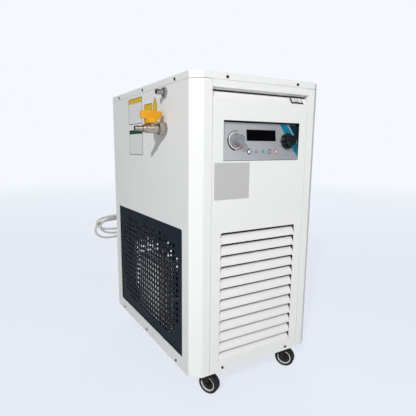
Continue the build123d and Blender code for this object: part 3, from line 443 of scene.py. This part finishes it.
# The condenser fins are darkened nearly to black: painted shade for the shade inside the cabinet.
painted_shade_fins = plated("painted_shade_fins", (0.09, 0.09, 0.095), 0.45)
black_plastic = moulded("black_plastic", BLACK, 0.42)
knob_grey = moulded("knob_grey", (0.24, 0.25, 0.265), 0.3, worn=(0.33, 0.34, 0.35), gloss=0.5)
knob_black = moulded("knob_black", (0.004, 0.005, 0.005), 0.16, gloss=0.45)
tyre_black = moulded("tyre_black", WHEEL_BLACK, 0.62, worn=(0.03, 0.029, 0.028))
rubber = moulded("rubber", (0.02, 0.02, 0.02), 0.7)
lever_paint = moulded("lever_paint", (0.76, 0.36, 0.004), 0.36, worn=(0.68, 0.29, 0.004), gloss=0.25)
cord_cover = moulded("cord_cover", (0.62, 0.62, 0.6), 0.5)
tank_foam = moulded("tank_foam", (0.55, 0.55, 0.53), 0.8, grain=300.0, depth=300)
hose_cover = moulded("hose_cover", (0.03, 0.03, 0.032), 0.6)
silver_plate = brushed_plate("silver_plate")
window_glass = moulded("window_glass", (0.0015, 0.0015, 0.002), 0.12, grain=900.0, depth=4, gloss=0.05)

label_white = printed("label_white", (0.8, 0.8, 0.79), 0.35)
label_grey = printed("label_grey", (0.52, 0.52, 0.505), 0.5)
label_yellow = printed("label_yellow", (0.8, 0.5, 0.01), 0.4, Specular_IOR_Level=0.15)
label_green = printed("label_green", (0.006, 0.07, 0.03), 0.4, Specular_IOR_Level=0.15)
label_edge = printed("label_edge", (0.015, 0.015, 0.016), 0.5, Specular_IOR_Level=0.1)
teal_ink = printed("teal_ink", (0.001, 0.2, 0.32), 0.45, Specular_IOR_Level=0.1)
deep_teal_ink = printed("deep_teal_ink", (0.001, 0.02, 0.045), 0.45, Specular_IOR_Level=0.1)
black_ink = printed("black_ink", BLACK, 0.45)
red_ink = printed("red_ink", (0.4, 0.02, 0.025), 0.45)
white_ink = printed("white_ink", (0.78, 0.78, 0.77), 0.45)

dress = {
    white_coat: ["corner_posts", "top_cover", "top_rail", "electric_box"],
    sheet_coat: ["front_panel", "left_panel", "right_panel", "rear_panel"],
    grille_coat: ["side_grille"],
    zinc: ["base_tray", "top_frame", "condenser_plates", "fan_straps", "tank_shelf", "cord_hook"],
    black_coat: ["fan_shroud", "fan_motor", "compressor", "pump", "caster_plates"],
    black_screw: ["cover_screws", "panel_screws"],
    chrome: ["return_stub", "side_nuts"],
    bright_steel: ["catch_bolt"],
    nickel: ["valve_body", "outlet_barb", "valve_stem"],
    copper: ["refrigerant_lines"],
    painted_shade_fins: ["condenser"],
    black_plastic: ["control_housing", "fan_blades", "cord_gland"],
    knob_grey: ["left_knob"],
    knob_black: ["right_knob"],
    rubber: ["compressor_feet"],
    lever_paint: ["valve_handle"],
    cord_cover: ["plug"],
    tank_foam: ["liquid_tank", "tank_lid"],
    hose_cover: ["coolant_pipes"],
    silver_plate: ["control_plate"],
    window_glass: ["display_window"],
    lamp_colours(): ["indicator_lamps"],
    catch_finish(): ["catch_frame"],
}
for corner in ("front_left", "front_right", "rear_left", "rear_right"):
    dress[black_coat].append("fork_" + corner)
    dress.setdefault(tyre_black, []).append("tyre_" + corner)
    dress[wheel_finish(corner)] = ["wheel_" + corner]
for material, names in dress.items():
    for name in names:
        nodes[name].data.materials.clear()
        nodes[name].data.materials.append(material)


# Camera


def camera():
    lens = bpy.data.cameras.new("camera")
    lens.sensor_width = SENSOR
    lens.lens = FOCAL_PIXELS * SENSOR / PHOTO_SIDE
    lens.shift_x = (PHOTO_SIDE / 2 - PICTURE_CENTRE[0]) / PHOTO_SIDE
    lens.shift_y = (PICTURE_CENTRE[1] - PHOTO_SIDE / 2) / PHOTO_SIDE
    lens.clip_start = CAMERA_NEAR * MM
    holder = bpy.data.objects.new("camera", lens)
    holder.matrix_world = (
        Matrix.Translation(metres(*CAMERA_PLACE))
        @ Matrix.Rotation(math.radians(-CAMERA_TURN), 4, "Z")
        @ Matrix.Rotation(math.radians(90 - CAMERA_DOWN), 4, "X")
        @ Matrix.Rotation(math.radians(CAMERA_ROLL), 4, "Z")
    )
    scene.collection.objects.link(holder)
    scene.camera = holder


camera()


# Mains cord


def turns():
    """Two and a half loose turns that hang over the hook, each a little different."""
    points = []
    for left, right, upper, lower, back, first, end in CORD_TURNS:
        middle = (left + right) / 2
        reach = (right - left) / 2
        centre = (upper + lower) / 2
        high = (upper - lower) / 2
        for step in range(first, end):
            angle = math.radians(TURN_START + 360 * step / TURN_STEPS)
            across = math.copysign(abs(math.cos(angle)) ** TURN_FULLNESS, math.cos(angle))
            deeper = back + TURN_PITCH * step / TURN_STEPS
            points.append((middle + reach * across, deeper, centre + high * math.sin(angle)))
    return points


def cord_line():
    line = bpy.data.curves.new("mains_cord", "CURVE")
    line.dimensions = "3D"
    line.bevel_depth = CORD_WIDTH / 2 * MM
    line.bevel_resolution = 5
    line.resolution_u = 6
    line.use_fill_caps = True
    spline = line.splines.new("NURBS")
    route = [*CORD_LEAD, *turns(), *CORD_TAIL]
    spline.points.add(len(route) - 1)
    for spot, point in zip(spline.points, route):
        spot.co = (*metres(*point), 1.0)
    spline.order_u = 3
    spline.use_endpoint_u = True
    line.materials.append(cord_cover)
    cord = bpy.data.objects.new("mains_cord", line)
    scene.collection.objects.link(cord)
    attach(cord, "cabinet")
    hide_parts("power_cord", "cord_hank", "plug_lead")


cord_line()


# Forms


def solid(name, points, faces, material, body="cabinet", slot=None):
    """A piece from its points in millimetres and its faces."""
    mesh = bpy.data.meshes.new(name)
    mesh.from_pydata([metres(*point) for point in points], [], faces)
    mesh.update()
    mesh.materials.append(material)
    piece = bpy.data.objects.new(name, mesh)
    scene.collection.objects.link(piece)
    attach(piece, body)
    return piece


def slab(name, outline, thickness, seat, material, **more):
    """A thin piece: an outline that runs anticlockwise as seen from outside, set on a seat."""
    count = len(outline)
    points = [seat(u, v, 0.0) for u, v in outline] + [seat(u, v, thickness) for u, v in outline]
    sides = [(i, (i + 1) % count, count + (i + 1) % count, count + i) for i in range(count)]
    faces = [tuple(range(count))[::-1], tuple(range(count, 2 * count)), *sides]
    return solid(name, points, faces, material, **more)


def band(name, inner, outer, start, end, centre, thickness, seat, material, steps=RING_STEPS, **more):
    """A flat ring, or a part of one, on a seat, with four points at each angle."""
    angles = [math.radians(start + (end - start) * i / steps) for i in range(steps + 1)]
    closed = abs(end - start) >= 360
    if closed:
        angles.pop()
    points, faces = [], []
    for angle in angles:
        across, up = math.cos(angle), math.sin(angle)
        for radius, out in ((inner, 0), (outer, 0), (outer, thickness), (inner, thickness)):
            points.append(seat(centre[0] + radius * across, centre[1] + radius * up, out))
    count = len(angles)
    for i in range(count if closed else count - 1):
        a, b = 4 * i, 4 * ((i + 1) % count)
        faces += [(a + k, b + k, b + (k + 1) % 4, a + (k + 1) % 4) for k in range(4)]
    if not closed:
        last = 4 * (count - 1)
        faces += [(0, 1, 2, 3), (last + 3, last + 2, last + 1, last)]
    return solid(name, points, faces, material, **more)


def ring_faces(rings, sides):
    """Faces that join each ring of points to the next, and the last ring to the first."""
    faces = []
    for ring in range(rings):
        first, second = ring * sides, (ring + 1) % rings * sides
        for i in range(sides):
            after = (i + 1) % sides
            faces.append((first + i, first + after, second + after, second + i))
    return faces


def rounded(left, low, right, high, radius, steps=5):
    """A rectangle with round corners, anticlockwise from its lower right."""
    corners = (
        (right - radius, low + radius, -90), (right - radius, high - radius, 0),
        (left + radius, high - radius, 90), (left + radius, low + radius, 180),
    )
    return [
        (x + radius * math.cos(math.radians(turn + 90 * i / steps)),
         y + radius * math.sin(math.radians(turn + 90 * i / steps)))
        for x, y, turn in corners for i in range(steps + 1)
    ]


def on_front(x, z, out):
    return x, FRONT_FACE - out, z


def on_left(u, z, out):
    """On the left side, where u runs towards the front, so that outlines stay anticlockwise."""
    return LEFT_FACE - out, -u, z


def on_plate(x, up, out):
    lean = math.atan2(PLATE_LEAN, PLATE_RISE)
    return (
        x,
        PLATE_FOOT[0] + up * math.sin(lean) - out * math.cos(lean),
        PLATE_FOOT[1] + up * math.cos(lean) + out * math.sin(lean),
    )


# Labels on the front and the left side


def edged_label(name, left, low, right, high, ink, slot, top_rim=LABEL_RIM):
    """A label on the left side, inside the rim of a dark film below it."""
    rim = LABEL_RIM
    edge = rounded(left, low, right, high, EDGE_ROUND)
    inside = rounded(left + rim, low + rim, right - rim, high - top_rim, LABEL_ROUND)
    slab(name + "_edge", edge, EDGE_FILM, on_left, label_edge, slot=slot)
    slab(name, inside, LABEL_FILM, on_left, ink, slot=slot)


def headed_label(name, left, low, right, high, header, header_ink):
    """A white label with a dark edge and a coloured field along its top."""
    rim = LABEL_RIM
    field = rounded(left + rim, high - header + HEADER_GAP, right - rim, high - rim, HEADER_ROUND)
    edged_label(name, left, low, right, high, label_white, "white_paint", top_rim=header)
    slab(name + "_header", field, LABEL_FILM, on_left, header_ink, slot="white_paint")


def arrow_label():
    """A yellow arrow that points up, with a dark edge."""
    across, up = ARROW_MIDDLE
    wide, tall = ARROW_SHRINK
    yellow = [(across + (u - across) * wide, up + (v - up) * tall) for u, v in ARROW]
    slab("arrow_label_edge", ARROW, EDGE_FILM, on_left, label_edge, slot="handle_yellow")
    slab("arrow_label", yellow, LABEL_FILM, on_left, label_yellow, slot="handle_yellow")


slab("front_label", rounded(-128, 475, -35, 555, FRONT_ROUND), FRONT_FILM, on_front, label_grey,
     slot="white_paint")
headed_label("upper_label", -104.5, 649, -5.6, 717, header=13, header_ink=label_yellow)
headed_label("lower_label", -103, 567, -5.0, 634, header=11, header_ink=label_green)
edged_label("valve_label", 8, 645, 59, 694, label_yellow, "handle_yellow")
arrow_label()


# Print on the control plate, the right knob's skirt and the lever's hub


def dial():
    """Arcs round the left knob, each with its radii in millimetres and its angles in degrees."""
    for name, inner, outer, start, end, thickness, ink in (
        ("left_dial_thin", 20.2, 21.6, 75, 165, DIAL_INK, black_ink),
        ("left_dial_black", 18.4, 22.2, 165, 262, DIAL_INK, black_ink),
        ("left_dial_white", 16.4, 18.4, 110, 345, FIELD_INK, white_ink),
        ("left_dial_red", 19.4, 21.4, 262, 335, DIAL_INK, red_ink),
    ):
        band(name, inner, outer, start, end, LEFT_KNOB, thickness, on_plate, ink, slot="control_silver")


def lamp_marks():
    """Marks round four of the lamps: a diamond, a triangle and a ring, all black, and a red ring."""
    for name, lamp, inner, outer, start, steps, ink in (
        ("diamond_mark", 0, 4.6, 7.8, 0, 4, black_ink),
        ("triangle_mark", 1, 3.8, 5.4, 90, 3, black_ink),
        ("dark_ring_mark", 3, 3.8, 5.2, 0, RING_STEPS, black_ink),
        ("red_ring_mark", 4, 3.8, 5.2, 0, RING_STEPS, red_ink),
    ):
        centre = (LAMP_X[lamp], LAMP_UP)
        band(name, inner, outer, start, start + 360, centre, MARK_INK, on_plate, ink, steps=steps,
             slot="control_silver")


def knob_skirt():
    """The wide scalloped skirt of the right knob, which turns with it."""
    points = []
    for radius, scallop, out in SKIRT_RINGS:
        for i in range(SKIRT_SIDES):
            angle = 2 * math.pi * i / SKIRT_SIDES
            dip = scallop * SCALLOP_DEPTH * max(0.0, math.cos(SCALLOPS * angle)) ** SCALLOP_BREADTH
            across = RIGHT_KNOB[0] + (radius - dip) * math.cos(angle)
            up = RIGHT_KNOB[1] + (radius - dip) * math.sin(angle)
            points.append(on_plate(across, up, out))
    solid("right_knob_skirt", points, ring_faces(len(SKIRT_RINGS), SKIRT_SIDES), knob_black,
          body="right_knob_turn", slot="knob_black")


def lever_hub():
    """The wide round hub under the valve's lever, which turns with it."""
    x, y, z = HUB_PLACE
    points = []
    for radius, up in HUB_RINGS:
        for i in range(HUB_SIDES):
            angle = 2 * math.pi * i / HUB_SIDES
            points.append((x + radius * math.cos(angle), y + radius * math.sin(angle), z + up))
    solid("lever_hub", points, ring_faces(len(HUB_RINGS), HUB_SIDES), lever_paint, body="valve_lever",
          slot="handle_yellow")


slab("teal_stripe", TEAL_STRIPE, FIELD_INK, on_plate, teal_ink, slot="control_silver")
slab("deep_teal_field", DEEP_TEAL_FIELD, FIELD_INK, on_plate, deep_teal_ink, slot="control_silver")
dial()
knob_skirt()
lever_hub()
lamp_marks()


# Studio


def studio_floor():
    """A wide pale floor, seen nearly as bright as the room, and just as bright far off."""
    finish = Finish("studio_floor", FLOOR_PAINT, 0.8)
    finish.shade(Base_Color=finish.mix(finish.noise(scale=3.0), FLOOR_PAINT, FLOOR_PATCH))
    distance = finish.node("VectorMath", {"operation": "LENGTH"}, {0: finish.position}, "Value")
    away = distance.ramp(*FLOOR_FADE)
    colour = finish.mix(away, FLOOR_SEEN, ROOM_SEEN)
    glow = finish.node("Emission", values={"Color": colour, "Strength": 1.0})
    seen = finish.node("LightPath", output="Is Camera Ray")
    share = seen * (FLOOR_GLOW + (1 - FLOOR_GLOW) * away)
    lit = Wire(finish, finish.shader.outputs[0])
    both = finish.node("MixShader", values={0: share, 1: lit, 2: glow})
    finish.give(finish.tree.nodes["Material Output"], {"Surface": both})
    mesh = bpy.data.meshes.new("studio_floor")
    side = FLOOR_REACH
    corners = [(-side, -side, 0), (side, -side, 0), (side, side, 0), (-side, side, 0)]
    mesh.from_pydata(corners, [], [(0, 1, 2, 3)])
    mesh.materials.append(finish.material)
    floor = bpy.data.objects.new("studio_floor", mesh)
    scene.collection.objects.link(floor)


def studio_room():
    """An even pale room, which the camera sees nearly white, and which lights softly."""
    world = bpy.data.worlds.new("studio")
    world.use_nodes = True
    scene.world = world
    tree = world.node_tree
    room = tree.nodes["Background"]
    room.inputs["Color"].default_value = (*ROOM_PAINT, 1.0)
    room.inputs["Strength"].default_value = ROOM_LIGHT
    seen = tree.nodes.new("ShaderNodeBackground")
    seen.inputs["Color"].default_value = (*ROOM_SEEN, 1.0)
    rays = tree.nodes.new("ShaderNodeLightPath")
    choice = tree.nodes.new("ShaderNodeMixShader")
    tree.links.new(rays.outputs["Is Camera Ray"], choice.inputs[0])
    tree.links.new(room.outputs[0], choice.inputs[1])
    tree.links.new(seen.outputs[0], choice.inputs[2])
    tree.links.new(choice.outputs[0], tree.nodes["World Output"].inputs[0])


def studio_light(name, spot, target, size, watts):
    """A round area light, from its place and its target in metres."""
    light = bpy.data.lights.new(name, "AREA")
    light.shape = "DISK"
    light.size = size
    light.energy = watts
    holder = bpy.data.objects.new(name, light)
    holder.location = spot
    holder.rotation_euler = (Vector(target) - Vector(spot)).to_track_quat("-Z", "Y").to_euler()
    scene.collection.objects.link(holder)


studio_floor()
studio_room()
studio_light("key_light", spot=(-2.26, -2.23, 2.24), target=(-0.1, -0.1, 0.4), size=0.1, watts=80)
studio_light("soft_light", spot=(0.35, -2.5, 1.4), target=(0, 0, 0.4), size=1.2, watts=14)
studio_light("back_light", spot=(2.0, 2.6, 1.8), target=(0, 0, 0.4), size=1.6, watts=26)
